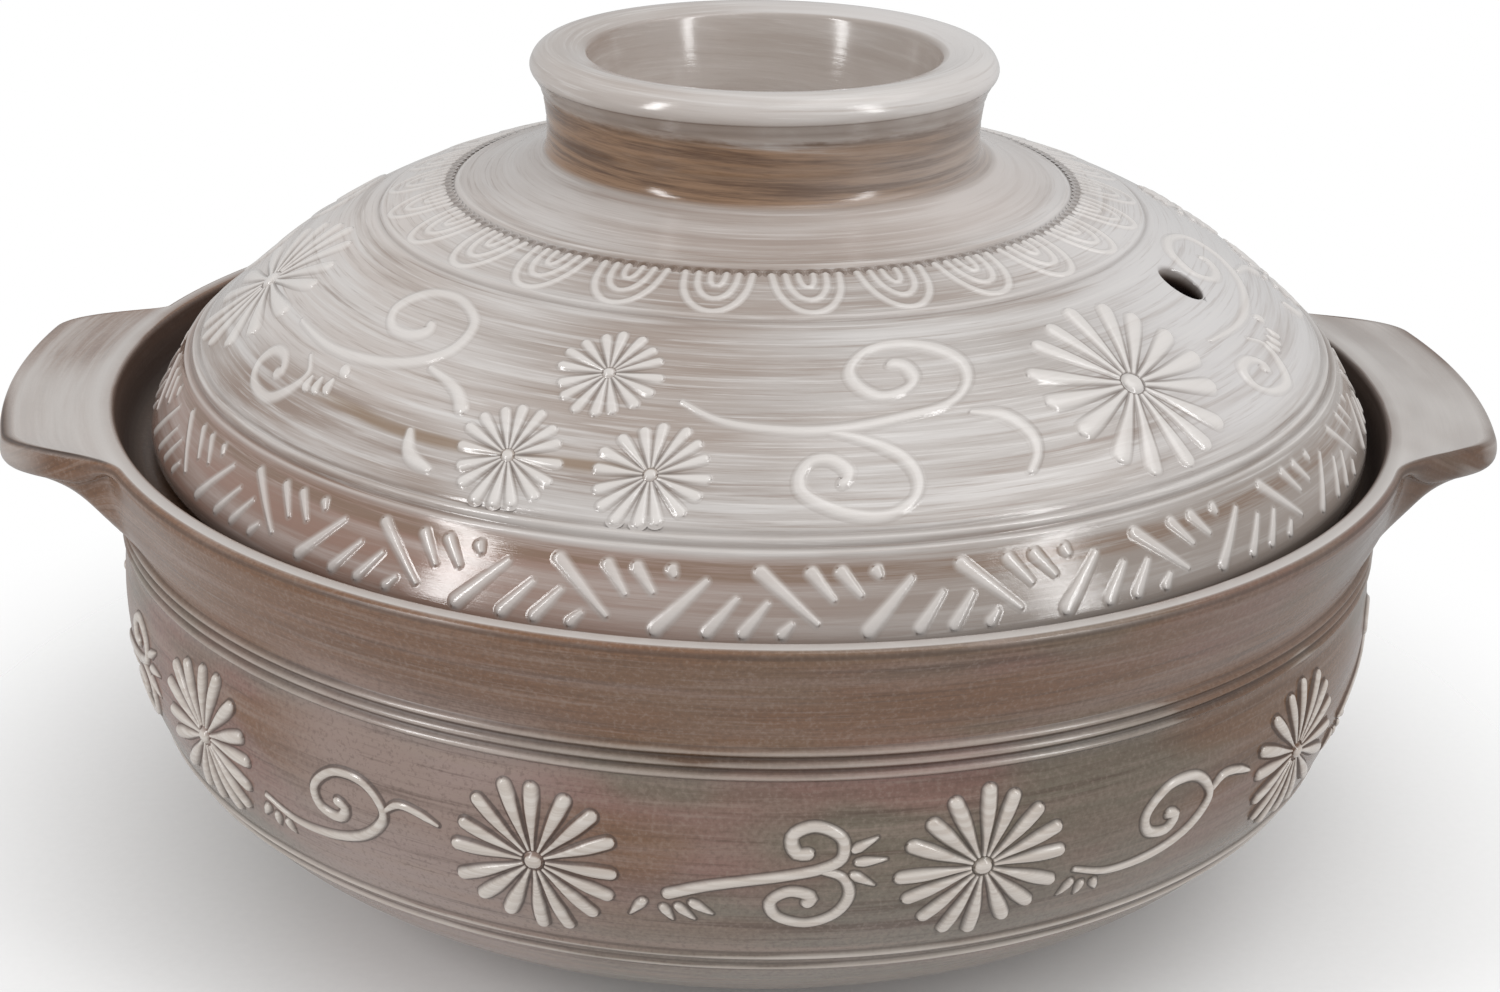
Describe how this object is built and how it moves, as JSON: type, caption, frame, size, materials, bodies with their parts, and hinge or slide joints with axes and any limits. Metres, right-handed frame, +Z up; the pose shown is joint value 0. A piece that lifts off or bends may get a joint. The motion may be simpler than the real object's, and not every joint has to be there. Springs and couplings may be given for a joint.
{
  "type": "lidded clay cooking pot",
  "caption": "Round stoneware hot pot with lug handles, a ledge inside its rim, and a domed lid with a ring grip and a steam hole that lifts off.",
  "frame": {"origin": "centre of the flat base the pot stands on", "axes": "+Z up along the pot's axis, X through the two handles, -Y towards the side shown in the picture"},
  "size_m": [0.283, 0.25, 0.156],
  "materials": {
    "pot_glaze": "glossy clear glaze over grey-brown clay with pale slip relief",
    "handle_glaze": "glossy clear glaze over clay brushed with pale slip",
    "lid_glaze": "glossy clear glaze over brushed pale grey slip",
    "grip_glaze": "glossy clear glaze, pale lip and brown neck"
  },
  "bodies": {
    "pot": {"pot_bowl": "pot_glaze", "left_handle": "handle_glaze", "right_handle": "handle_glaze"},
    "lid": {"lid_dome": "lid_glaze", "lid_grip_ring": "grip_glaze"}
  },
  "joints": [
    {"name": "lid_lift", "type": "slide", "parent": "pot", "child": "lid", "axis": [0, 0, 1], "range_m": [0, 0.12]}
  ]
}
